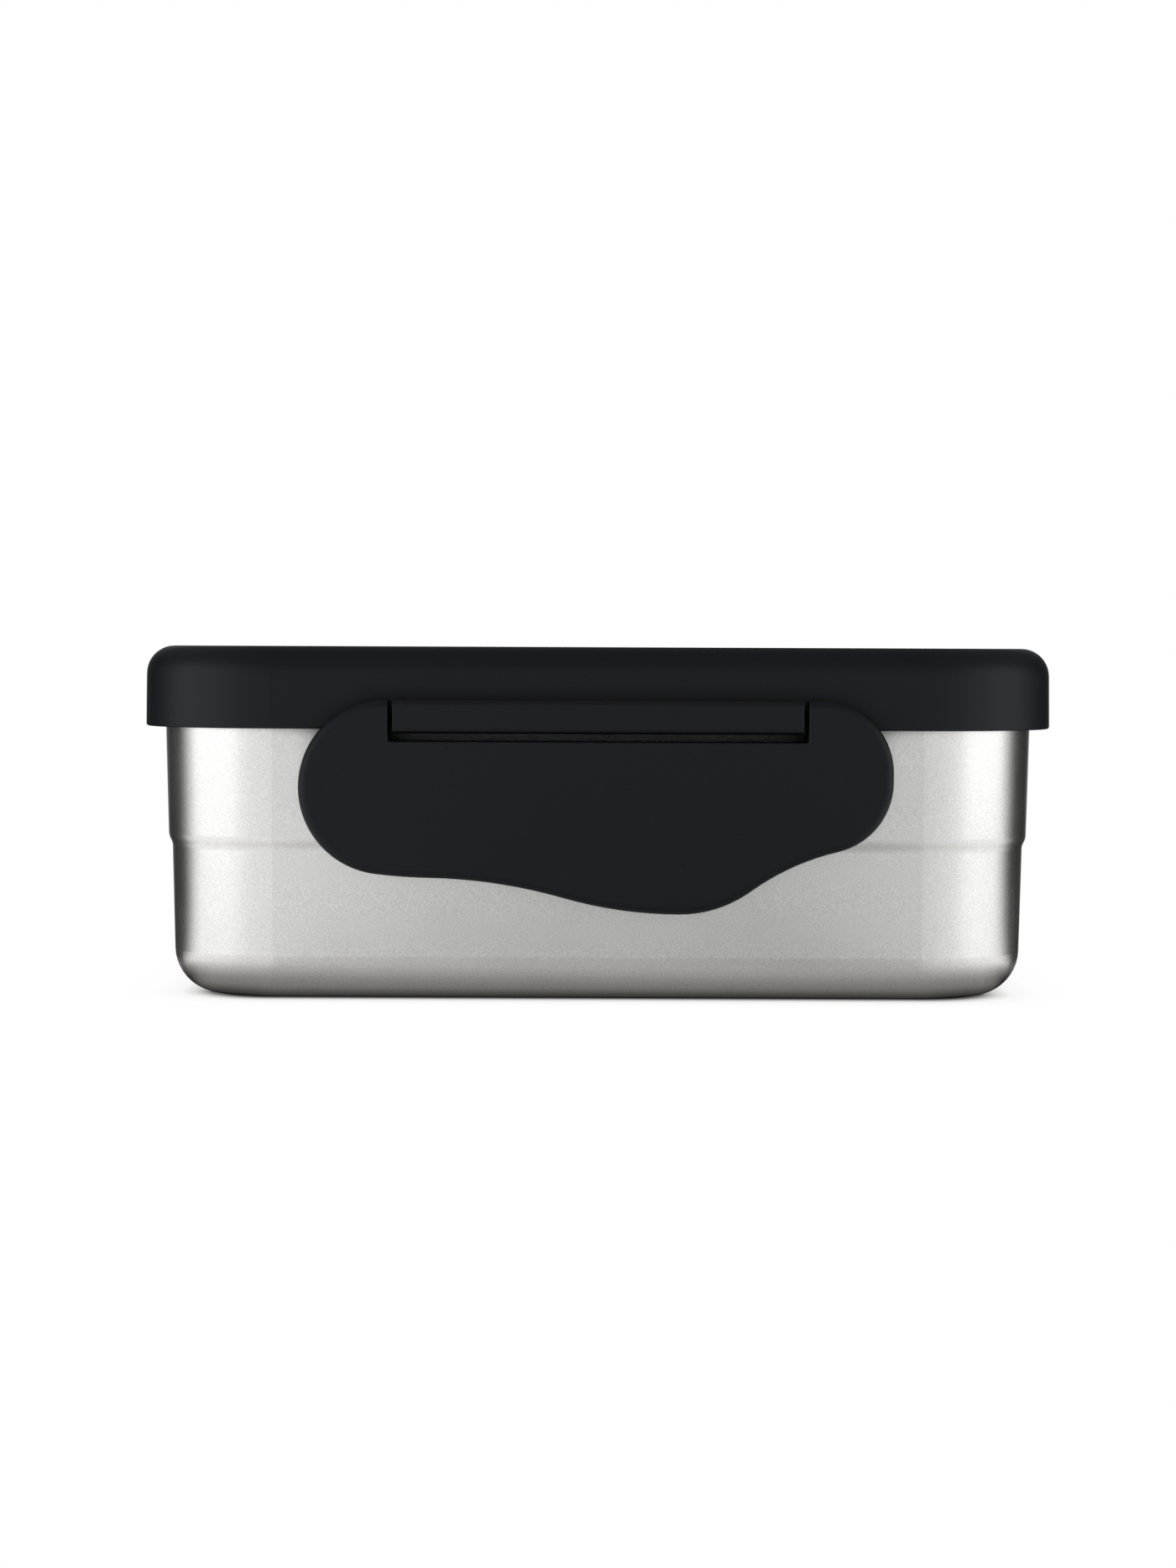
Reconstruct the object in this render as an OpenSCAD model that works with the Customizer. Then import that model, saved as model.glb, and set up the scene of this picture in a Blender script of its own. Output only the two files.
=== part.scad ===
// Lunch box: a drawn steel tub, a moulded lid with a seal, and two wavy clips that swing on the lid's
// hinge bars and catch under a ledge pressed round the tub. Millimetres. The origin is at the middle of
// the tub's underside, +Z is up and the front is towards -Y.

/* [Box] */
// Width of the lid at the lower edge of its skirt, along X
lid_w = 180; // [160:1:210]
// Depth of the lid at the lower edge of its skirt, along Y
lid_d = 130; // [110:1:150]
// Height of the closed box
box_h = 69; // [62:1:80]
// Plan radius of the lid's corners at the skirt
lid_corner_r = 27; // [22:1:32]

/* [Tub] */
// How far the skirt stands out past the tub's wall just below it
skirt_overhang = 3.9; // [3.7:0.1:4.6]
// Thickness of the drawn sheet
sheet_t = 0.6; // [0.5:0.05:0.8]
// Lean of the tub's walls from vertical, in degrees
tub_draft = 1.4; // [0.5:0.1:2.5]
// Outer radius between the walls and the floor
floor_r = 9; // [5:0.5:10]
// Height of the lower end of the ledge above the floor's underside
ledge_z = 29.2; // [26:0.2:31]
// How far the wall steps inwards at the ledge
ledge_step = 0.7; // [0.5:0.1:1.2]
// Bend radius of the sheet's middle at the ledge
ledge_bend_r = 3; // [2:0.25:4]
// Radius of the sheet's middle in the rolled rim
rim_roll_r = 0.75; // [0.6:0.05:0.85]
// How far the rim is rolled over, in degrees
rim_roll_turn = 235; // [180:5:260]
// Height of the lid's underside above the rolled rim
rim_gap = 2.6; // [2.3:0.1:3.4]

/* [Lid] */
// Wall thickness of the lid
lid_t = 1.7; // [1.4:0.1:1.8]
// Outer radius of the shoulder between the lid's top and its skirt
shoulder_r = 5.5; // [4:0.25:7]
// Height of the skirt from the lid's top to its lower edge
skirt_h = 15.9; // [15:0.1:20]
// Lean of the skirt from vertical, in degrees
skirt_draft = 0.6; // [0.3:0.1:1.2]
// Radius along the skirt's lower edge
skirt_edge_r = 0.5; // [0.3:0.05:0.6]
// Thickness of the inner wall of the seal channel
channel_wall_t = 1.3; // [1:0.1:1.8]
// Height of the inner wall of the seal channel
channel_wall_h = 4.5; // [4:0.25:6]

/* [Seal] */
// Width of the seal ring
seal_w = 2.2; // [1.8:0.1:2.4]
// Gap between the seal and the rolled rim
seal_gap = 0.3; // [0.2:0.05:0.5]
// Gap between the seal and the walls of its channel
seal_side_gap = 0.1; // [0.05:0.05:0.2]
// Depth of the groove in the seal's lower face
seal_groove = 0.5; // [0.3:0.1:0.8]

/* [Hinge] */
// Distance of the hinge axis from the skirt's lower edge, outwards
hinge_out = 4; // [3.9:0.1:5]
// Height of the hinge bar
bar_h = 6.4; // [5.6:0.1:6.8]
// How far the bar's underside lies below the skirt's lower edge
bar_drop = 0.65; // [0.4:0.05:0.8]
// Length of the hinge bar
bar_l = 78.6; // [70:0.2:82]
// Radius along the bar's front edges
bar_edge_r = 1.1; // [0.8:0.1:1.6]
// Radius of the upright edges at the bar's ends
bar_end_r = 0.4; // [0.2:0.1:0.8]
// How far the bar's face lies behind the clip's face
bar_setback = 0.2; // [0:0.05:0.5]
// Radius of the hinge pins
pin_r = 1; // [0.75:0.05:1.2]
// Radial running clearance of the hinge pins
pin_play = 0.05; // [0.03:0.01:0.09]
// Depth that each pin goes into the bar
pin_in_bar = 8; // [6:0.5:12]
// Length of each pin inside its lobe
pin_in_lobe = 7; // [5:0.5:7.5]
// Gap between each pin's inner end and the bottom of its hole
pin_end_gap = 0.3; // [0.1:0.05:0.5]
// Chamfer on the pins' ends
pin_chamfer = 0.2; // [0.1:0.05:0.4]
// Gap between the lobes' backs and the skirt as the clip swings
swing_gap = 0.4; // [0.3:0.05:0.5]

/* [Clip] */
// Height of the clip from the top of its lobes to its lowest point
clip_h = 40.8; // [37:0.2:44]
// Height of the lobes' tops above the hinge axis
lobe_rise = 3.2; // [2.9:0.1:3.4]
// Distance of the clip's face from the hinge axis
face_out = 2.8; // [2.6:0.1:3]
// Thickness of the clip's plate
plate_t = 2.4; // [2.2:0.1:3]
// Radius along the clip's front edge
clip_edge_r = 1.6; // [0.8:0.1:1.8]
// Depth of the clip from its face to the back of its flange
flange_d = 5.6; // [4.6:0.1:6.2]
// Width of the flange round the clip's back
flange_w = 2; // [1.7:0.1:3]
// Gap between the bar's ends and the lobes
lobe_gap = 0.75; // [0.4:0.05:1]
// Gap between the bar's underside and the lower edge of the notch
notch_gap = 1.5; // [1.4:0.1:2.4]
// Radius of the notch's corners
notch_r = 0.5; // [0.4:0.1:0.8]
// Radius along the notch's front edges
notch_edge_r = 0.3; // [0.2:0.05:0.35]
// Place of the left lobe's centre, along X
left_lobe_x = -40.5; // [-42:0.1:-40]
// Radius of the left lobe
left_lobe_r = 16.7; // [14:0.1:17.5]
// Angle of the left lobe's arc past its lowest point, in degrees
chin_turn = 7; // [4:0.5:12]
// Radius of the chin under the left lobe
chin_r = 97; // [70:1:110]
// Radius of the hollow between the chin and the belly
left_hollow_r = 100; // [70:1:130]
// Place of the belly's lowest point, along X
belly_x = 15.6; // [13:0.1:17]
// Radius of the belly on its left
belly_left_r = 82; // [75:1:90]
// Radius of the belly on its right
belly_right_r = 23.2; // [21:0.1:26]
// Radius of the hollow between the belly and the right lobe
right_hollow_r = 47; // [40:1:60]
// Place of the right lobe's centre, along X
right_lobe_x = 42.7; // [41.5:0.1:44]
// Radius of the right lobe
right_lobe_r = 13.7; // [12.5:0.1:14.5]
// Length of the straight side of the right lobe
right_lobe_side = 1.7; // [1:0.1:3]

/* [Catch] */
// Length of the catch rib along X
catch_l = 60; // [50:1:64]
// Thickness of the catch rib
catch_t = 2.2; // [1.8:0.1:2.4]
// Clearance of the catch rib from the tub's wall
catch_gap = 0.3; // [0.25:0.05:0.4]
// Number of webs that brace the catch rib
web_count = 5; // [3:1:7]
// Thickness of each web
web_t = 1.4; // [1.2:0.1:2]
// Height of the webs above the catch rib
web_h = 11; // [8:0.5:13]

/* [Hidden] */
$fn = 96;

steel = [0.78, 0.78, 0.77];
plastic = [0.13, 0.14, 0.17];
silicone = [0.45, 0.46, 0.48];

skirt_z = box_h - skirt_h;
lid_underside_z = box_h - lid_t;
lid_cx = lid_w / 2 - lid_corner_r;
lid_cy = lid_d / 2 - lid_corner_r;

// All plan corners share the lid's corner centres, so a section's x is the distance from them.
tub_wall_r = lid_corner_r - skirt_overhang;
rim_top_z = lid_underside_z - rim_gap;

// --- paths of a sheet: each step is [length, 0] for a straight run or [radius, turn] for a bend ---

// Pose [x, z, heading] after a step; a positive turn bends to the left
function after(pose, step) =
    step[1] == 0
    ? [pose[0] + step[0] * cos(pose[2]), pose[1] + step[0] * sin(pose[2]), pose[2]]
    : let (side = sign(step[1]),
           cx = pose[0] - side * step[0] * sin(pose[2]),
           cz = pose[1] + side * step[0] * cos(pose[2]),
           h = pose[2] + step[1])
      [cx + side * step[0] * sin(h), cz - side * step[0] * cos(h), h];

// Poses along a path, from its start to its end
function poses(start, steps, i = 0) =
    i == len(steps) ? [start] : concat([start], poses(after(start, steps[i]), steps, i + 1));

// Point beside a pose, at a distance to its left
function beside(pose, d) = [pose[0] - d * sin(pose[2]), pose[1] + d * cos(pose[2])];

// Part of a disc that lies beyond the chord from a to b; the turn is under 180 degrees
module cap(centre, r, a, b) {
    mid = (a + b) / 2 - centre;
    out = 2 * r * mid / norm(mid);
    intersection() {
        translate(centre) circle(r = r);
        polygon([a, a + out, b + out, b]);
    }
}

// Part of a disc between two angles; the turn is under 180 degrees
module sector(r, from, to) {
    mid = (from + to) / 2;
    intersection() {
        circle(r = r);
        polygon([[0, 0], 2 * r * [cos(from), sin(from)], 2 * r * [cos(mid), sin(mid)],
                 2 * r * [cos(to), sin(to)]]);
    }
}

// Cap of one bend of a path, at a distance d to the path's left
module bend_cap(p, steps, i, d) {
    turn = sign(steps[i][1]);
    cap(beside(p[i], turn * steps[i][0]), steps[i][0] - turn * d, beside(p[i], d), beside(p[i + 1], d));
}

// What lies on one side of a path moved left by d, closed through the points in ends; side is 1 for
// the left of the path and -1 for its right
module beyond(start, steps, d, ends, side) {
    p = poses(start, steps);
    bends = [for (i = [0 : len(steps) - 1]) if (steps[i][1] != 0) i];
    difference() {
        union() {
            polygon(concat([for (q = p) beside(q, d)], ends));
            for (i = bends) if (side * steps[i][1] > 0) bend_cap(p, steps, i, d);
        }
        for (i = bends) if (side * steps[i][1] < 0) bend_cap(p, steps, i, d);
    }
}

// One quarter turn of a section round a corner centre; corner 0 is at +X +Y
module corner(i) {
    sx = i == 0 || i == 3 ? 1 : -1;
    sy = i < 2 ? 1 : -1;
    translate([sx * lid_cx, sy * lid_cy]) rotate(90 * i) rotate_extrude(angle = 90) children();
}

// Straight run of a section between two corners; side 0 faces +X
module side(i) {
    out = i % 2 == 0 ? lid_cx : lid_cy;
    half_run = i % 2 == 0 ? lid_cy : lid_cx;
    rotate(90 * i) translate([out, 0]) rotate([90, 0, 0])
        linear_extrude(height = 2 * half_run, center = true) children();
}

// Sweeps a section round the box's rounded rectangle; the section's x is measured from a corner centre
module around() {
    for (i = [0 : 3]) {
        side(i) children();
        corner(i) children();
    }
}

// Flat plate that fills the plan between the corner centres
module middle_plate(z, t) {
    translate([-lid_cx, -lid_cy, z]) cube([2 * lid_cx, 2 * lid_cy, t]);
}

// --- tub ---

ledge_turn = acos(1 - ledge_step / (2 * ledge_bend_r));
wall_lean = 90 - tub_draft;
floor_mid_r = floor_r - sheet_t / 2;
ledge_rise = after(after([0, 0, wall_lean], [ledge_bend_r, -ledge_turn]), [ledge_bend_r, ledge_turn])[1];

// Heights of the sheet's middle at the ends of its straight runs
floor_bend_top_z = sheet_t / 2 + floor_mid_r * (1 - cos(wall_lean));
ledge_top_z = ledge_z + ledge_rise;
rim_bend_z = rim_top_z - sheet_t / 2 - rim_roll_r * (1 - sin(tub_draft));

lower_run = (ledge_z - floor_bend_top_z) / cos(tub_draft);
upper_run = (rim_bend_z - ledge_top_z) / cos(tub_draft);

wall_steps = [[floor_mid_r, wall_lean], [lower_run, 0], [ledge_bend_r, -ledge_turn],
              [ledge_bend_r, ledge_turn], [upper_run, 0]];
wall_shape = poses([0, sheet_t / 2, 0], wall_steps);

// The wall's middle lies at this x where the skirt ends, which sets the length of the flat floor
wall_x_at_skirt = tub_wall_r - sheet_t / 2 / cos(tub_draft);
floor_run = wall_x_at_skirt - wall_shape[4][0] - (skirt_z - ledge_top_z) * tan(tub_draft);
tub_steps = concat([[floor_run, 0]], wall_steps);
tub_start = [0, sheet_t / 2, 0];
tub_end = poses(tub_start, tub_steps)[len(tub_steps)];
tub_end_in = beside(tub_end, sheet_t / 2);

// How far the rolled rim's section runs down into the wall's end
roll_lap = 0.15;

// Outer face of the tub's wall just below the ledge, from a corner centre
wall_under_ledge = floor_run + wall_shape[2][0] + sheet_t / 2 / cos(tub_draft);

module tub_section() {
    above = beside(after(tub_end, [box_h, 0]), sheet_t / 2);
    difference() {
        beyond(tub_start, tub_steps, -sheet_t / 2, [tub_end_in, [0, tub_end_in[1]]], 1);
        beyond(tub_start, tub_steps, sheet_t / 2, [above, [-lid_cx, above[1]], [-lid_cx, sheet_t]], 1);
    }
}

// The rim, rolled outwards from the wall's upper end
module roll_section() {
    c = beside(tub_end, -rim_roll_r);
    open_to = tub_end[2] + 90 - rim_roll_turn;
    difference() {
        translate(c) circle(r = rim_roll_r + sheet_t / 2);
        translate(c) circle(r = rim_roll_r - sheet_t / 2);
        polygon([c, tub_end_in - [0, roll_lap], tub_end_in - [0, 3 * rim_roll_r],
                 c + 3 * rim_roll_r * [cos(open_to), sin(open_to)]]);
    }
}

module tub() {
    color(steel) {
        around() tub_section();
        around() roll_section();
        middle_plate(0, sheet_t);
    }
}

// --- lid ---

shoulder_mid_r = shoulder_r - lid_t / 2;
skirt_heading = -(90 - skirt_draft);
shoulder_drop = shoulder_mid_r * (1 - cos(skirt_heading));
skirt_run = (skirt_h - lid_t / 2 - shoulder_drop) / cos(skirt_draft);
lid_start = [0, box_h - lid_t / 2, 0];
skirt_lower = poses([0, 0, 0], [[shoulder_mid_r, skirt_heading], [skirt_run, 0]])[2];
top_run = lid_corner_r - lid_t / 2 / cos(skirt_draft) - skirt_lower[0];
skirt_straight = skirt_run - skirt_edge_r;
lid_steps = [[top_run, 0], [shoulder_mid_r, skirt_heading], [skirt_straight, 0]];
skirt_end = poses(lid_start, lid_steps)[3];

// The seal channel lies between this inner wall and the skirt, centred over the rolled rim
rim_out = floor_run + wall_shape[5][0] + rim_roll_r * cos(tub_draft);
channel_wall_x = rim_out - seal_w / 2 - channel_wall_t - seal_side_gap;

// Lower edge of the skirt, with a small radius on both sides
module skirt_edge() {
    translate([skirt_end[0], skirt_end[1]]) rotate(skirt_end[2]) {
        translate([0, -lid_t / 2 + skirt_edge_r]) square([skirt_edge_r, lid_t - 2 * skirt_edge_r]);
        translate([0, lid_t / 2 - skirt_edge_r]) sector(skirt_edge_r, 0, 90);
        translate([0, -lid_t / 2 + skirt_edge_r]) sector(skirt_edge_r, -90, 0);
    }
}

module lid_section() {
    inner_end = beside(skirt_end, -lid_t / 2);
    below = beside(after(skirt_end, [box_h, 0]), -lid_t / 2);
    difference() {
        beyond(lid_start, lid_steps, lid_t / 2, [inner_end, [0, inner_end[1]]], -1);
        beyond(lid_start, lid_steps, -lid_t / 2, [below, [-lid_cx, below[1]], [-lid_cx, lid_underside_z]], -1);
    }
    skirt_edge();
    translate([channel_wall_x, lid_underside_z - channel_wall_h])
        square([channel_wall_t, channel_wall_h + lid_t / 2]);
}

hinge_y = lid_d / 2 + hinge_out;
bar_low = skirt_z - bar_drop;
hinge_z = bar_low + bar_h / 2;
clip_face_y = hinge_y + face_out;
bar_face_y = clip_face_y - bar_setback;

// Section of the bar in the plane across X: x is outwards from the box's middle, y is up
module bar_section() {
    root = lid_d / 2 - lid_t / 2;
    straight_y = bar_face_y - bar_edge_r;
    translate([root, bar_low]) square([straight_y - root, bar_h]);
    translate([straight_y, bar_low + bar_edge_r]) square([bar_edge_r, bar_h - 2 * bar_edge_r]);
    translate([straight_y, bar_low + bar_h - bar_edge_r]) sector(bar_edge_r, 0, 90);
    translate([straight_y, bar_low + bar_edge_r]) sector(bar_edge_r, -90, 0);
}

// Plan of the bar, with rounded corners at its front
module bar_plan() {
    translate([-bar_l / 2, 0]) square([bar_l, bar_face_y - bar_end_r]);
    translate([-bar_l / 2 + bar_end_r, 0]) square([bar_l - 2 * bar_end_r, bar_face_y]);
    for (s = [-1, 1])
        translate([s * (bar_l / 2 - bar_end_r), bar_face_y - bar_end_r]) circle(r = bar_end_r);
}

module hinge_bar() {
    difference() {
        intersection() {
            rotate([90, 0, 90]) linear_extrude(height = lid_w, center = true) bar_section();
            linear_extrude(height = box_h) bar_plan();
        }
        for (s = [-1, 1])
            translate([s * bar_l / 2, hinge_y, hinge_z]) rotate([0, 90, 0])
                cylinder(r = pin_r + pin_play, h = 2 * (pin_in_bar + pin_end_gap), center = true);
    }
}

module lid() {
    color(plastic) {
        around() lid_section();
        middle_plate(lid_underside_z, lid_t);
        for (a = [0, 180]) rotate(a) hinge_bar();
    }
}

// --- seal ---

seal_low = rim_top_z + seal_gap;

// The seal fills the channel up to the inside of the lid's shoulder
module seal_section() {
    offset_in = -lid_t / 2 - seal_side_gap;
    below = beside(after(skirt_end, [box_h, 0]), offset_in);
    difference() {
        intersection() {
            translate([rim_out - seal_w / 2, seal_low]) square([seal_w, box_h - seal_low]);
            beyond(lid_start, lid_steps, offset_in,
                   [below, [-lid_cx, below[1]], [-lid_cx, lid_underside_z - seal_side_gap]], -1);
        }
        translate([rim_out - seal_w / 4, seal_low - seal_groove]) square([seal_w / 2, 2 * seal_groove]);
    }
}

module lid_seal() {
    color(silicone) around() seal_section();
}

// --- clip: drawn in its own plane, x along the box and y up from the hinge axis ---

lobe_in = bar_l / 2 + lobe_gap;
notch_low = -bar_h / 2 - notch_gap;
clip_low = lobe_rise - clip_h;

left_lobe = [left_lobe_x, lobe_rise - left_lobe_r];
right_lobe = [right_lobe_x, lobe_rise - right_lobe_r];
right_lobe_low = right_lobe - [0, right_lobe_side];
belly_left = [belly_x, clip_low + belly_left_r];
belly_right = [belly_x, clip_low + belly_right_r];
chin_angle = 270 - chin_turn;
chin = left_lobe + (left_lobe_r - chin_r) * [cos(chin_angle), sin(chin_angle)];

// Lower centre of a circle that touches two others from outside, at distances da and db from them
function under(a, da, b, db) =
    let (v = b - a, d = norm(v), s = (da * da - db * db + d * d) / (2 * d), h = sqrt(da * da - s * s))
    a + s * v / d + h * [v[1], -v[0]] / d;

function bearing(from, to) = atan2(to[1] - from[1], to[0] - from[0]);

left_hollow = under(chin, chin_r + left_hollow_r, belly_left, belly_left_r + left_hollow_r);
right_hollow = under(belly_right, belly_right_r + right_hollow_r,
                     right_lobe_low, right_lobe_r + right_hollow_r);
chin_end = bearing(chin, left_hollow) + 360;
belly_start = bearing(belly_left, left_hollow) + 360;
belly_end = bearing(belly_right, right_hollow) + 360;
right_start = bearing(right_lobe_low, right_hollow) + 360;

// The outline from the left lobe's top, down and round to the right lobe's top. Each entry is
// [centre, radius, first angle, last angle, 1 where the arc bulges outwards or -1 where it is hollow].
clip_arcs = [
    [left_lobe, left_lobe_r, 90, 180, 1],
    [left_lobe, left_lobe_r, 180, chin_angle, 1],
    [chin, chin_r, chin_angle, chin_end, 1],
    [left_hollow, left_hollow_r, chin_end - 180, belly_start - 180, -1],
    [belly_left, belly_left_r, belly_start, 270, 1],
    [belly_right, belly_right_r, 270, belly_end, 1],
    [right_hollow, right_hollow_r, belly_end - 180, right_start - 180, -1],
    [right_lobe_low, right_lobe_r, right_start, 360, 1],
    [right_lobe, right_lobe_r, 0, 90, 1]];

// Point on the line that an arc shares with its neighbour at one of its angles, this far out of the outline
function joint(arc, a, out) = arc[0] + (arc[1] + arc[4] * out) * [cos(a), sin(a)];

// Moves by whole microns and then by the rest, which keeps every digit of the place
module at(place) {
    whole = [for (v = place) round(v * 1000) / 1000];
    translate(whole) translate(place - whole) children();
}

// How far the arcs' wedges run into the clip and out of it
wedge_in = 0.6 * left_lobe_r;
wedge_out = 2 * clip_edge_r;

// Wedge between the lines that an arc shares with its neighbours
module wedge(arc) {
    mid = (arc[2] + arc[3]) / 2;
    far = arc[0] + 2 * (arc[1] + wedge_out) * [cos(mid), sin(mid)];
    polygon(concat([joint(arc, arc[2], -wedge_in), joint(arc, arc[2], wedge_out)], arc[4] > 0 ? [far] : [],
                   [joint(arc, arc[3], wedge_out), joint(arc, arc[3], -wedge_in)]));
}

// The clip's outline moved inwards by inset; its top edge stays straight between the lobes
module clip_outline(inset = 0) {
    polygon([for (arc = clip_arcs) each [joint(arc, arc[2], -wedge_in), joint(arc, arc[3], -wedge_in)]]);
    translate([left_lobe_x, lobe_rise - wedge_in]) square([right_lobe_x - left_lobe_x, wedge_in - inset]);
    translate([right_lobe_x + right_lobe_r - wedge_in, right_lobe_low[1]])
        square([wedge_in - inset, right_lobe_side]);
    for (arc = clip_arcs)
        if (arc[4] > 0) {
            intersection() {
                wedge(arc);
                at(arc[0]) circle(r = arc[1] - inset);
            }
        } else {
            difference() {
                wedge(arc);
                at(arc[0]) circle(r = arc[1] + inset);
            }
        }
}

// What a front edge's radius takes off: x is outwards from the outline, y is out of the clip's face
module edge_cut(edge_r) {
    translate([-edge_r, -edge_r]) difference() {
        square(2 * edge_r);
        circle(r = edge_r);
    }
}

// The same along one arc of the outline
module arc_cut(arc) {
    intersection() {
        at(concat(arc[0], 0)) rotate_extrude()
            translate([arc[1], 0]) mirror([arc[4] > 0 ? 0 : 1, 0]) edge_cut(clip_edge_r);
        linear_extrude(height = 4 * clip_edge_r, center = true) wedge(arc);
    }
}

// The same along a straight run, clockwise from a point whose outline faces a given angle
module run_cut(from, facing, length, edge_r = clip_edge_r) {
    translate(from) rotate(facing) rotate([90, 0, 0]) linear_extrude(height = length) edge_cut(edge_r);
}

// The notch between the lobes, open at the top, with rounded lower corners
module notch() {
    translate([-lobe_in, notch_low + notch_r]) square([2 * lobe_in, clip_h]);
    translate([-lobe_in + notch_r, notch_low]) square([2 * (lobe_in - notch_r), clip_h]);
    for (s = [-1, 1])
        translate([s * (lobe_in - notch_r), notch_low + notch_r]) circle(r = notch_r);
}

// The radius along the notch's front edges
module notch_edge() {
    side_l = lobe_rise - notch_low - notch_r;
    run_cut([-lobe_in, lobe_rise], 0, side_l, notch_edge_r);
    run_cut([-lobe_in + notch_r, notch_low], 90, 2 * (lobe_in - notch_r), notch_edge_r);
    run_cut([lobe_in, notch_low + notch_r], 180, side_l, notch_edge_r);
    for (s = [-1, 1])
        translate([s * (lobe_in - notch_r), notch_low + notch_r, 0]) intersection() {
            rotate_extrude() translate([notch_r, 0]) mirror([1, 0]) edge_cut(notch_edge_r);
            translate([s > 0 ? 0 : -clip_h, -clip_h, -clip_h]) cube([clip_h, clip_h, 2 * clip_h]);
        }
}

// Extrudes a section along X; its x is out of the clip's face and its y is up
module across(length) {
    rotate([0, -90, 0]) linear_extrude(height = length, center = true) children();
}

// The moulding: a plate with a flange round its back, and solid lobes on both sides of the notch
module moulding() {
    difference() {
        translate([0, 0, -flange_d]) linear_extrude(height = flange_d) difference() {
            clip_outline();
            notch();
        }
        translate([0, 0, -flange_d - plate_t]) linear_extrude(height = flange_d) difference() {
            clip_outline(flange_w);
            translate([-lid_w / 2, notch_low - flange_w]) square([lid_w, clip_h]);
        }
        for (arc = clip_arcs) arc_cut(arc);
        notch_edge();
        run_cut([left_lobe_x, lobe_rise], 90, -left_lobe_x - lobe_in);
        run_cut([lobe_in, lobe_rise], 90, right_lobe_x - lobe_in);
        run_cut(right_lobe + [right_lobe_r, 0], 0, right_lobe_side);
    }
}

// Rib that catches under the tub's ledge, with a round nose, and the webs that brace it
nose_y = ledge_z - hinge_z;
nose_x = lid_cy + wall_under_ledge + catch_gap + catch_t / 2 - clip_face_y;

module catch_rib() {
    across(catch_l) {
        translate([nose_x, nose_y - catch_t / 2]) square([-plate_t / 2 - nose_x, catch_t]);
        translate([nose_x, nose_y]) sector(catch_t / 2, 90, 180);
        translate([nose_x, nose_y]) sector(catch_t / 2, 180, 270);
    }
    for (i = [0 : web_count - 1])
        translate([catch_l * ((i + 0.5) / web_count - 0.5), 0, 0]) across(web_t)
            polygon([[-plate_t / 2, nose_y], [-plate_t / 2, nose_y + web_h],
                     [-plate_t, nose_y + web_h], [nose_x + catch_t / 2, nose_y]]);
}

// What the lobes leave free at their upper back corner, to swing past the skirt
module swing_clearance() {
    reach = lobe_rise + flange_d;
    across(lid_w) difference() {
        translate([-face_out - reach, 0]) square(reach);
        translate([-face_out, 0]) circle(r = hinge_out - swing_gap);
    }
}

module clip() {
    difference() {
        union() {
            moulding();
            catch_rib();
        }
        swing_clearance();
        for (s = [-1, 1])
            translate([s * lobe_in, 0, -face_out]) rotate([0, 90, 0])
                cylinder(r = pin_r + pin_play, h = 2 * (pin_in_lobe + pin_end_gap), center = true);
    }
}

module front_clip() {
    color(plastic) translate([0, -clip_face_y, hinge_z]) rotate([90, 0, 0]) clip();
}

module rear_clip() {
    rotate(180) front_clip();
}

// --- hinge pins ---

// Pin of the lobe on one side of the front clip: -1 is left, 1 is right
module hinge_pin(s) {
    inner = bar_l / 2 - pin_in_bar;
    outer = lobe_in + pin_in_lobe;
    color(steel) translate([s > 0 ? inner : -outer, -hinge_y, hinge_z]) rotate([0, 90, 0]) {
        translate([0, 0, pin_chamfer]) cylinder(r = pin_r, h = outer - inner - 2 * pin_chamfer);
        cylinder(r1 = pin_r - pin_chamfer, r2 = pin_r, h = pin_chamfer);
        translate([0, 0, outer - inner - pin_chamfer])
            cylinder(r1 = pin_r, r2 = pin_r - pin_chamfer, h = pin_chamfer);
    }
}

module front_hinge_pin_left() {
    hinge_pin(-1);
}

module front_hinge_pin_right() {
    hinge_pin(1);
}

module rear_hinge_pin_left() {
    rotate(180) hinge_pin(-1);
}

module rear_hinge_pin_right() {
    rotate(180) hinge_pin(1);
}

tub();
lid();
lid_seal();
front_clip();
rear_clip();
front_hinge_pin_left();
front_hinge_pin_right();
rear_hinge_pin_left();
rear_hinge_pin_right();
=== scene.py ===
"""Looks of the lunch box: satin steel, dark moulded plastic, and a studio of white paper with soft light at both sides.

The pieces keep their shapes and only get materials. All lengths are in metres.
"""

import math

import bpy
from mathutils import Euler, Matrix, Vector


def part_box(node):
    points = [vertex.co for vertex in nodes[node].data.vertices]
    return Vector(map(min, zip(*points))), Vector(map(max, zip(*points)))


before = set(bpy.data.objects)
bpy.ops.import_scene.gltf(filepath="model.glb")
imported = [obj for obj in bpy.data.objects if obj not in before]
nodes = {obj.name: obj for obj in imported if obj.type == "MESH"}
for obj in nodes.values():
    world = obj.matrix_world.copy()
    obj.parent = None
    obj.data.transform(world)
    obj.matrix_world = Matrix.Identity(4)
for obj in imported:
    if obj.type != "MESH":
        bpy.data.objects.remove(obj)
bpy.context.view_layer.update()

# --- Camera: a long lens at the height of the lid's top, tipped down a little and rolled by a quarter of a degree ---

# The image's longer side, which the sensor's width belongs to, and the focal length, both in pixels
IMAGE_H = 1868
FOCAL_PX = 4035
SENSOR_MM = 36.0
CAM_DISTANCE = 0.715
CAM_HEIGHT = 0.069
CAM_X = -0.0019
AIM_HEIGHT = 0.043
ROLL_DEG = 0.235
CLIP_START, CLIP_END = 0.02, 20.0


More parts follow.
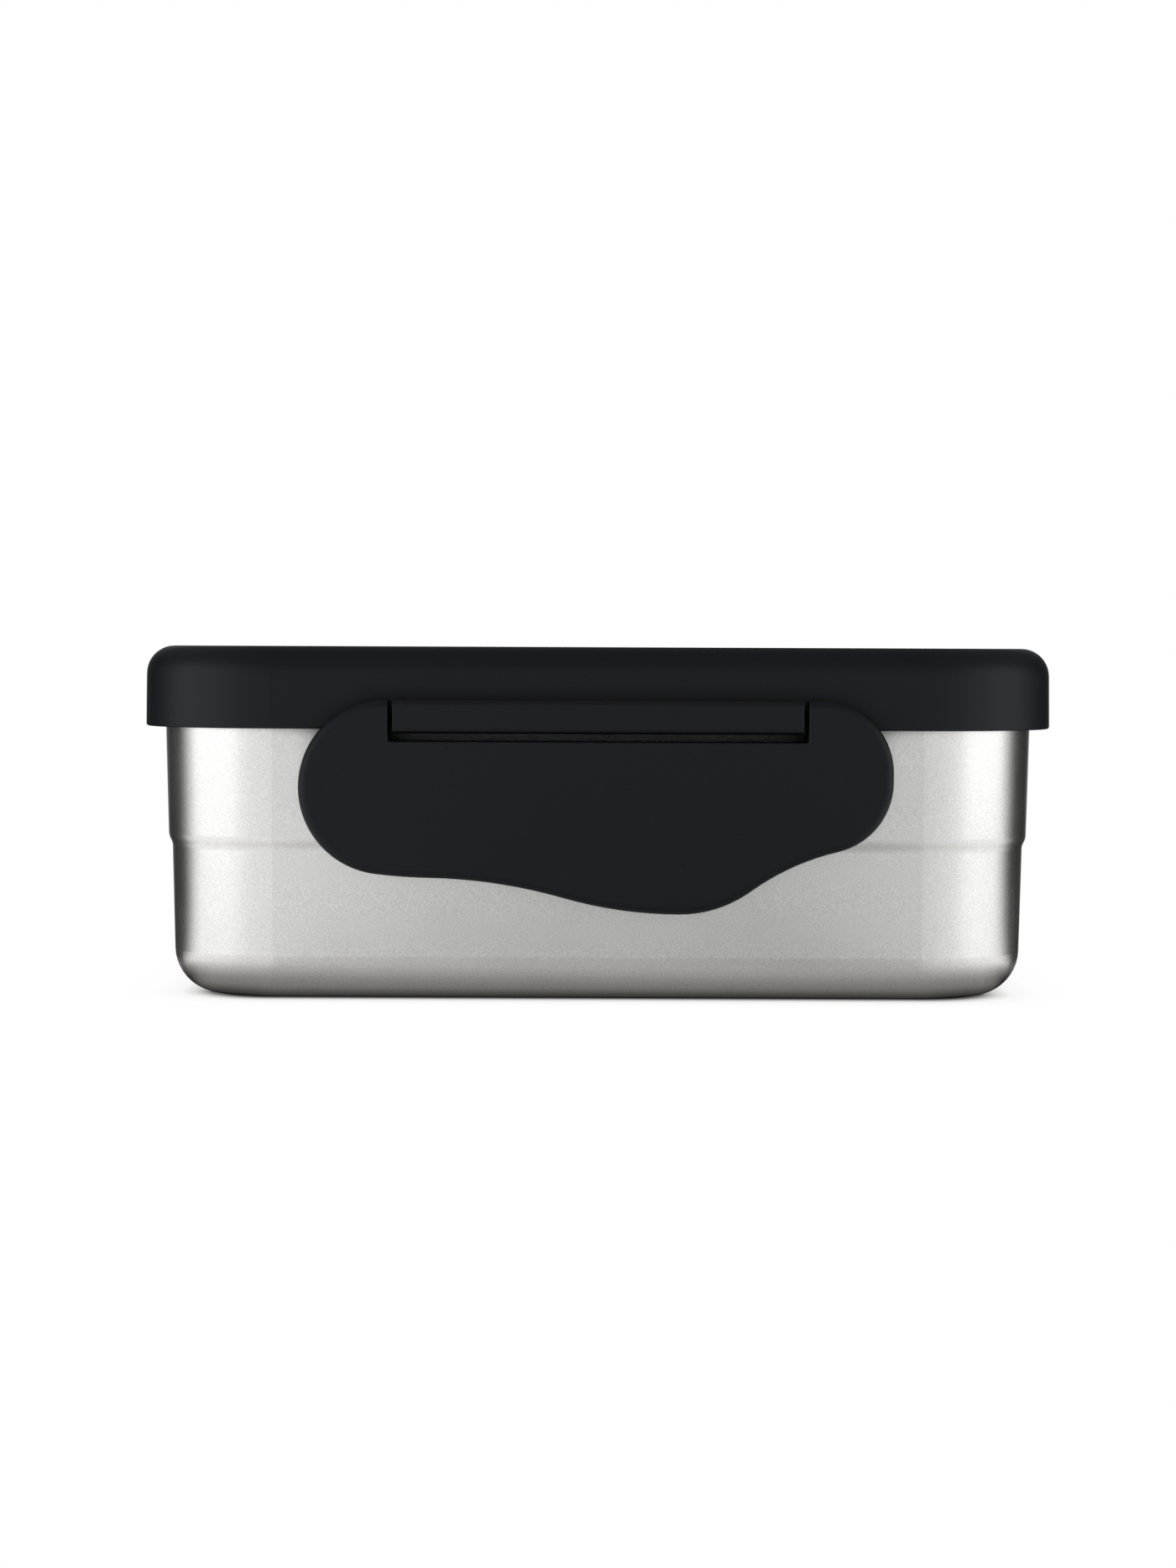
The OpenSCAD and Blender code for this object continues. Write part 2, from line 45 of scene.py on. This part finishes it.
def make_camera():
    """Looks along +Y at the front clip."""
    cam = bpy.data.objects.new("camera", bpy.data.cameras.new("camera"))
    bpy.context.scene.collection.objects.link(cam)
    cam.data.sensor_width = SENSOR_MM
    cam.data.lens = FOCAL_PX / IMAGE_H * SENSOR_MM
    cam.data.clip_start, cam.data.clip_end = CLIP_START, CLIP_END
    cam.location = (CAM_X, -CAM_DISTANCE, CAM_HEIGHT)
    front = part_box("front_clip")[0].y
    aim = Vector((CAM_X, front, AIM_HEIGHT)) - cam.location
    roll = Euler((0, 0, math.radians(ROLL_DEG))).to_quaternion()
    cam.rotation_euler = (aim.to_track_quat("-Z", "Y") @ roll).to_euler()
    bpy.context.scene.camera = cam


# --- Node building ---


class Nodes:
    """A short way to add nodes to a tree and join them. A value may be a number, a tuple or another node's output."""

    def __init__(self, tree):
        self.tree = tree
        tree.nodes.clear()

    def add(self, kind, inputs=None, **settings):
        node = self.tree.nodes.new(kind)
        for key, value in settings.items():
            setattr(node, key, value)
        for key, value in (inputs or {}).items():
            self.put(node.inputs[key], value)
        return node

    def put(self, socket, value):
        if isinstance(value, bpy.types.NodeSocket):
            self.tree.links.new(value, socket)
        else:
            socket.default_value = value

    def noise(self, vector, scale, detail, rough):
        inputs = {"Vector": vector, "Scale": scale, "Detail": detail, "Roughness": rough}
        return self.add("ShaderNodeTexNoise", inputs).outputs["Fac"]

    def ramp(self, fac, stops):
        """A colour ramp; a stop is a place from 0 to 1 and a colour or a grey level."""
        node = self.add("ShaderNodeValToRGB", {"Fac": fac})
        points = node.color_ramp.elements
        while len(points) < len(stops):
            points.new(0.5)
        for point, (place, colour) in zip(points, stops):
            point.position = place
            point.color = (*colour, 1) if isinstance(colour, tuple) else (colour, colour, colour, 1)
        return node.outputs["Color"]

    def map(self, value, low, high, to_low, to_high):
        """Maps low to high onto to_low to to_high, and holds the value at both ends."""
        inputs = {"Value": value, "From Min": low, "From Max": high, "To Min": to_low, "To Max": to_high}
        return self.add("ShaderNodeMapRange", inputs).outputs["Result"]

    def math(self, operation, a, b=0.0):
        return self.add("ShaderNodeMath", {0: a, 1: b}, operation=operation).outputs[0]

    def vector(self, operation, a, b=(0, 0, 0), result="Vector"):
        return self.add("ShaderNodeVectorMath", {0: a, 1: b}, operation=operation).outputs[result]

    def split(self, vector):
        return self.add("ShaderNodeSeparateXYZ", {"Vector": vector}).outputs

    def blend(self, fac, a, b):
        """From the number a to the number b."""
        return self.add("ShaderNodeMix", {0: fac, 2: a, 3: b}, data_type="FLOAT").outputs[0]

    def mix(self, fac, a, b, blend_type="MIX"):
        """From the colour a to the colour b."""
        return self.add("ShaderNodeMix", {0: fac, 6: a, 7: b}, data_type="RGBA", blend_type=blend_type).outputs[2]

    def choose(self, fac, a, b):
        """From the shader a to the shader b."""
        return self.add("ShaderNodeMixShader", {0: fac, 1: a, 2: b}).outputs[0]

    def bump(self, height, strength, distance):
        inputs = {"Height": height, "Strength": strength, "Distance": distance}
        return self.add("ShaderNodeBump", inputs).outputs["Normal"]

    def coords(self, kind="Object"):
        return self.add("ShaderNodeTexCoord").outputs[kind]

    def place(self, scale=(1, 1, 1)):
        return self.add("ShaderNodeMapping", {"Vector": self.coords(), "Scale": scale}).outputs["Vector"]

    def finish(self, kind, shader):
        self.put(self.add(kind).inputs["Surface"], shader)


def new_material(name):
    material = bpy.data.materials.new(name)
    material.use_nodes = True
    return material, Nodes(material.node_tree)


def toned(tone, stops):
    """Stops of a colour ramp from places and gains of one tone."""
    return [(place, tuple(gain * channel for channel in tone)) for place, gain in stops]


# --- Materials: the scale of a noise is the number of its cells to the metre ---

# Between these lie nearly all values of a noise
NOISE_LOW, NOISE_HIGH = 0.3, 0.7
# How far the heights of the reliefs below are felt
RELIEF_STRENGTH = 0.2

STEEL = (0.66, 0.66, 0.655)
PIN = (0.6, 0.6, 0.6)
# Gains of the tone over the mix of grain and clouds, and their shares in it
STEEL_TONES = [(0.36, 0.86), (0.64, 1.12)]
GRAIN_SHARE, CLOUD_SHARE = 0.8, 0.2
STEEL_CLOUDS = 26
# How far the clouds change the roughness either way, and how much the wear marks add
CLOUD_ROUGHNESS = 0.03
WEAR_ROUGHNESS = 0.035
WEAR_SCALE = 160
WEAR_STRETCH = (1, 1, 0.35)
# Values of its noise at which a wear mark begins and is full
WEAR_LOW, WEAR_HIGH = 0.55, 0.8
STEEL_RELIEF = 0.00008
# How far off the surroundings still count for the painted shade in the steel's gaps
STEEL_SHADE_REACH = 0.02
# The tub gets the painted shade of its gaps above this height, under the lid's skirt, and none from this much lower
# down
LIP_HEIGHT = 0.05
LIP_FADE = 0.004

PLASTIC = (0.0022, 0.0037, 0.0078)
PLASTIC_TONES = [(NOISE_LOW, 0.94), (NOISE_HIGH, 1.08)]
PLASTIC_ROUGHNESS = (0.45, 0.475)
PLASTIC_SHINE = 0.215
PLASTIC_GRAIN = 2600
PLASTIC_FLOW = 34
PLASTIC_RELIEF = 0.00005
# How far off the surroundings still count for the painted shade in the plastic's gaps
PLASTIC_SHADE_REACH = 0.004
DUST = (0.35, 0.35, 0.36, 1)
DUST_SCALE = 900
DUST_STOPS = [(0.66, 0.0), (0.8, 1.0)]
DUST_SHARE = 0.03

RUBBER_STOPS = [(NOISE_LOW, (0.15, 0.16, 0.17)), (NOISE_HIGH, (0.19, 0.2, 0.21))]
RUBBER_ROUGHNESS = (0.6, 0.7)
RUBBER_GRAIN = 1500
RUBBER_CLOUDS = 60
RUBBER_RELIEF = 0.00005


def painted_gap_shade(n, reach, shut, open_, above=None):
    """Painted shade in gaps, to multiply a colour: from 0 deep in a gap to 1 in the open. The surroundings count up to
    the reach; shut and open_ are the openness at which it is 0 and 1. With above, it is 1 for all that lies lower
    than that."""
    shade = n.add("ShaderNodeAmbientOcclusion", {"Distance": reach}, samples=16).outputs["AO"]
    level = n.map(shade, shut, open_, 0.0, 1.0)
    if above is not None:
        lower = n.map(n.split(n.coords())["Z"], above - LIP_FADE, above, 1.0, 0.0)
        level = n.math("MAXIMUM", level, lower)
    return level


def steel_material(name, tone, roughness, grain, shut, open_, lip=None):
    """Satin steel: a fine grain in colour and relief, cloudy roughness, faint upright wear marks and painted shade in
    gaps.
    """
    material, n = new_material(name)
    place = n.place()
    fine = n.noise(place, grain, detail=3.0, rough=0.6)
    cloud = n.noise(place, STEEL_CLOUDS, detail=4.0, rough=0.6)
    wear = n.noise(n.place(WEAR_STRETCH), WEAR_SCALE, detail=5.0, rough=0.7)
    mottle = n.math("ADD", n.math("MULTIPLY", fine, GRAIN_SHARE), n.math("MULTIPLY", cloud, CLOUD_SHARE))
    colour = n.ramp(mottle, toned(tone, STEEL_TONES))
    cloudy = n.map(cloud, NOISE_LOW, NOISE_HIGH, roughness - CLOUD_ROUGHNESS, roughness + CLOUD_ROUGHNESS)
    worn = n.map(wear, WEAR_LOW, WEAR_HIGH, 0.0, WEAR_ROUGHNESS)
    shader = n.add("ShaderNodeBsdfPrincipled", {
        # Painted shade in gaps darkens the base colour
        "Base Color": n.mix(1.0, colour, painted_gap_shade(n, STEEL_SHADE_REACH, shut, open_, lip), "MULTIPLY"),
        "Metallic": 1.0,
        "Roughness": n.math("ADD", cloudy, worn),
        "Normal": n.bump(fine, RELIEF_STRENGTH, STEEL_RELIEF)})
    n.finish("ShaderNodeOutputMaterial", shader.outputs[0])
    return material


def plastic_material(name, tone):
    """Moulded plastic: a fine grain, flow clouds, specks of dust and painted shade in gaps."""
    material, n = new_material(name)
    place = n.place()
    grain = n.noise(place, PLASTIC_GRAIN, detail=2.0, rough=0.5)
    flow = n.noise(place, PLASTIC_FLOW, detail=4.0, rough=0.6)
    dust = n.noise(place, DUST_SCALE, detail=3.0, rough=0.7)
    specks = n.math("MULTIPLY", n.ramp(dust, DUST_STOPS), DUST_SHARE)
    colour = n.mix(specks, n.ramp(flow, toned(tone, PLASTIC_TONES)), DUST)
    shader = n.add("ShaderNodeBsdfPrincipled", {
        # Painted shade in gaps darkens the base colour
        "Base Color": n.mix(1.0, colour, painted_gap_shade(n, PLASTIC_SHADE_REACH, shut=0.5, open_=0.92), "MULTIPLY"),
        "Roughness": n.map(flow, NOISE_LOW, NOISE_HIGH, *PLASTIC_ROUGHNESS),
        "Specular IOR Level": PLASTIC_SHINE,
        "Normal": n.bump(grain, RELIEF_STRENGTH, PLASTIC_RELIEF)})
    n.finish("ShaderNodeOutputMaterial", shader.outputs[0])
    return material


def rubber_material(name):
    """Soft rubber: cloudy colour and roughness, and a fine grain."""
    material, n = new_material(name)
    place = n.place()
    cloud = n.noise(place, RUBBER_CLOUDS, detail=4.0, rough=0.6)
    shader = n.add("ShaderNodeBsdfPrincipled", {
        "Base Color": n.ramp(cloud, RUBBER_STOPS),
        "Roughness": n.map(cloud, NOISE_LOW, NOISE_HIGH, *RUBBER_ROUGHNESS),
        "Normal": n.bump(n.noise(place, RUBBER_GRAIN, detail=3.0, rough=0.55), RELIEF_STRENGTH, RUBBER_RELIEF)})
    n.finish("ShaderNodeOutputMaterial", shader.outputs[0])
    return material


def dress(names, material):
    """Puts the material on the CAD nodes of these names."""
    for name in names:
        slots = nodes[name].material_slots
        for slot in slots:
            slot.material = material
        if not slots:
            nodes[name].data.materials.append(material)


# --- Studio ---

FLOOR_SIZE = 30.0
WHITE = (1, 1, 1, 1)
PAPER = (0.68, 0.67, 0.65, 1)
# Radius of the tub's corners in plan, and how far its flat underside lies inside its rim
CORNER_R = 0.023
FOOT_INSET = 0.011

# How white the camera sees the paper, from the edge of the tub's flat underside (0) to this far from it (1). Near the
#  tub the white glow gives way to the grey paper with its real shadow, so the contact shadow is partly real, partly
#  painted shade
FLOOR_FADE = 0.06
SEEN_STOPS = [(0.0, 0.1), (0.05, 0.6), (0.1, 0.9), (0.2, 0.985), (0.35, 1.0)]

# Brightness of the studio that the object mirrors: from its front (0) to behind it (1), from its left (0) to its
#  right (1), and from below (0) to above (1). The world multiplies all three and the gain, and the paper's painted
#  reflection glow the first two and the gain.
BEHIND_STOPS = [(0.0, 1.0), (0.51, 1.0), (0.69, 0.03), (0.93, 0.03), (0.985, 0.6), (1.0, 0.6)]
ASIDE_STOPS = [(0.0, 0.91), (0.12, 0.9), (0.18, 0.82), (0.33, 0.77), (0.43, 0.8), (0.47, 0.52), (0.5, 0.42),
               (0.53, 0.38), (0.555, 0.57), (0.63, 0.64), (0.84, 0.76), (0.9, 0.89), (1.0, 0.89)]
UP_STOPS = [(0.0, 0.6), (0.5, 1.0), (0.62, 0.92), (0.78, 0.5), (1.0, 0.42)]
STUDIO_GAIN = 1.45
# The least that the first of them is overhead, and the upward parts of a direction between which that comes in
OVERHEAD = 0.6
OVERHEAD_FROM, OVERHEAD_TO = 0.3, 0.75

# Painted shade of the paper that the steel mirrors, from the edge of the flat underside (0) to this far from it (1):
#  a painted contact shadow in the reflection, dark at the tub, then warm grey, then white
FLOOR_SHADE = 0.09
PAINTED_REFLECTION_STOPS = [(0.0, (0.01, 0.01, 0.01)), (0.028, (0.18, 0.175, 0.165)), (0.05, (0.4, 0.39, 0.367)),
                  (0.083, (0.535, 0.52, 0.49)), (0.122, (0.72, 0.705, 0.668)), (0.193, (0.885, 0.87, 0.845)),
                  (0.35, (0.9, 0.89, 0.87)), (0.5, (0.96, 0.955, 0.94)), (1.0, (1.0, 1.0, 0.99))]
# Up to the first of these distances the paper's painted reflection glow has a brightness of its own round the object,
#  with no difference between left and right and darkest behind it, and from the second on it has the studio's
NEAR, FAR = 0.008, 0.026
NEAR_BEHIND_STOPS = [(0.0, 1.0), (0.2, 1.0), (0.33, 0.7), (0.46, 0.2), (0.55, 0.04), (0.68, 0.05), (0.8, 0.6),
                     (1.0, 0.6)]
NEAR_ASIDE = 0.46
# How far a place's direction turns aside for each metre along the front wall, from its middle to the corner
WALL_TURN = 1.3

LAMP_AIM = (0, 0, 0.03)
# Name, place, width and height, power in watts
LAMPS = [("side_left", (-0.82, -0.37, 0.2), (0.9, 0.6), 1.25),
         ("side_right", (0.85, -0.3, 0.2), (0.8, 0.6), 1.05)]


def from_foot(n, place):
    """Distance of a place on the paper from the edge of the tub's flat underside."""
    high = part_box("tub")[1]
    inner = (high.x - CORNER_R, high.y - CORNER_R, 0)
    beside = n.vector("MAXIMUM", n.vector("SUBTRACT", n.vector("ABSOLUTE", place), inner))
    return n.math("SUBTRACT", n.vector("LENGTH", beside, result="Value"), CORNER_R - FOOT_INSET)


def from_corner(n, place):
    """Direction of a place on the paper, seen from the nearer front corner's centre, or from the front wall."""
    low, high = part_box("tub")
    axis = n.split(place)
    across = n.math("ABSOLUTE", axis["X"])
    beyond = n.math("MAXIMUM", n.math("SUBTRACT", across, high.x - CORNER_R), 0.0)
    ahead = n.math("SUBTRACT", axis["Y"], low.y + CORNER_R)
    turn = n.math("MULTIPLY", n.math("ABSOLUTE", ahead), WALL_TURN)
    along = n.math("MULTIPLY", n.math("SUBTRACT", across, beyond), turn)
    aside = n.math("MULTIPLY", n.math("ADD", beyond, along), n.math("SIGN", axis["X"]))
    flat = n.add("ShaderNodeCombineXYZ", {"X": aside, "Y": ahead}).outputs["Vector"]
    return n.vector("NORMALIZE", flat)


def studio_level(n, direction, far=None, overhead=None):
    """Brightness of the studio in a direction, for the world's light and for the paper's painted reflection glow. With
    far, from the near paper's own painted brightness (0) to the studio's (1); overhead is the least that the part from
    front to behind may be."""
    axis = n.split(direction)
    front_to_back = n.map(axis["Y"], -1, 1, 0, 1)
    behind = n.ramp(front_to_back, BEHIND_STOPS)
    aside = n.ramp(n.map(axis["X"], -1, 1, 0, 1), ASIDE_STOPS)
    if overhead is not None:
        behind = n.math("MAXIMUM", behind, overhead)
    if far is not None:
        behind = n.blend(far, n.ramp(front_to_back, NEAR_BEHIND_STOPS), behind)
        aside = n.blend(far, NEAR_ASIDE, aside)
    return n.math("MULTIPLY", n.math("MULTIPLY", behind, aside), STUDIO_GAIN)


def make_floor():
    """White paper, where a white glow gives way near the tub to the grey paper with its real shadow: a soft contact
    shadow, partly real and partly painted shade. Glossy rays see a painted reflection instead, a glow whose shade
    depends on the place, with a painted contact shadow near the tub.
    """
    mesh = bpy.data.meshes.new("floor")
    half = FLOOR_SIZE / 2
    mesh.from_pydata([(-half, -half, 0), (half, -half, 0), (half, half, 0), (-half, half, 0)], [], [(0, 1, 2, 3)])
    floor = bpy.data.objects.new("floor", mesh)
    bpy.context.scene.collection.objects.link(floor)
    material, n = new_material("floor_paper")
    rays = n.add("ShaderNodeLightPath").outputs
    place = n.coords()
    away = from_foot(n, place)
    # Near the tub the white glow fades to the grey paper: a contact shadow that is partly real and partly painted shade
    whiteness = n.ramp(n.map(away, 0.0, FLOOR_FADE, 0.0, 1.0), SEEN_STOPS)
    seen = n.math("MULTIPLY", n.math("ADD", rays["Is Camera Ray"], rays["Is Transmission Ray"]), whiteness)
    paper = n.add("ShaderNodeBsdfDiffuse", {"Color": PAPER}).outputs[0]
    white = n.add("ShaderNodeEmission", {"Color": WHITE, "Strength": 1.0}).outputs[0]
    # A painted reflection: a glow that only glossy rays see, with a painted contact shadow near the tub and painted
    # dark behind the object
    painted_reflection = n.add("ShaderNodeEmission", {
        "Color": n.ramp(n.map(away, 0.0, FLOOR_SHADE, 0.0, 1.0), PAINTED_REFLECTION_STOPS),
        "Strength": studio_level(n, from_corner(n, place), n.map(away, NEAR, FAR, 0.0, 1.0))}).outputs[0]
    n.finish("ShaderNodeOutputMaterial", n.choose(rays["Is Glossy Ray"], n.choose(seen, paper, white), painted_reflection))
    mesh.materials.append(material)


def make_world():
    """White for the camera and through clear things, and the studio's brightness for all else."""
    world = bpy.data.worlds.new("studio")
    world.use_nodes = True
    n = Nodes(world.node_tree)
    rays = n.add("ShaderNodeLightPath").outputs
    direction = n.coords("Generated")
    height = n.split(direction)["Z"]
    overhead = n.map(height, OVERHEAD_FROM, OVERHEAD_TO, 0.0, OVERHEAD)
    studio = n.add("ShaderNodeBackground", {
        "Color": n.ramp(n.map(height, -1, 1, 0, 1), UP_STOPS),
        "Strength": studio_level(n, direction, overhead=overhead)}).outputs[0]
    white = n.add("ShaderNodeBackground", {"Color": WHITE, "Strength": 1.0}).outputs[0]
    seen = n.math("MAXIMUM", rays["Is Camera Ray"], rays["Is Transmission Ray"])
    n.finish("ShaderNodeOutputWorld", n.choose(seen, studio, white))
    bpy.context.scene.world = world


def area_light(name, place, size, power):
    """A soft lamp at a place, turned to the object."""
    data = bpy.data.lights.new(name, "AREA")
    data.shape = "RECTANGLE"
    data.size, data.size_y = size
    data.energy = power
    light = bpy.data.objects.new(name, data)
    light.location = place
    light.rotation_euler = (Vector(LAMP_AIM) - Vector(place)).to_track_quat("-Z", "Y").to_euler()
    bpy.context.scene.collection.objects.link(light)


# --- The scene ---

# shut and open_ set the painted shade in gaps, and lip keeps the tub's to the part under the lid's skirt
dress(["tub"], steel_material("tub_steel", STEEL, roughness=0.26, grain=3600, shut=0.16, open_=0.54, lip=LIP_HEIGHT))
dress(["lid"], plastic_material("lid_plastic", PLASTIC))
dress(["front_clip", "rear_clip"], plastic_material("clip_plastic", PLASTIC))
dress(["lid_seal"], rubber_material("seal_rubber"))
dress([name for name in nodes if "pin" in name],
      steel_material("pin_steel", PIN, roughness=0.4, grain=3000, shut=0.45, open_=1.0))
make_floor()
make_world()
for lamp in LAMPS:
    area_light(*lamp)
make_camera()
bpy.context.scene.view_settings.view_transform = "Standard"
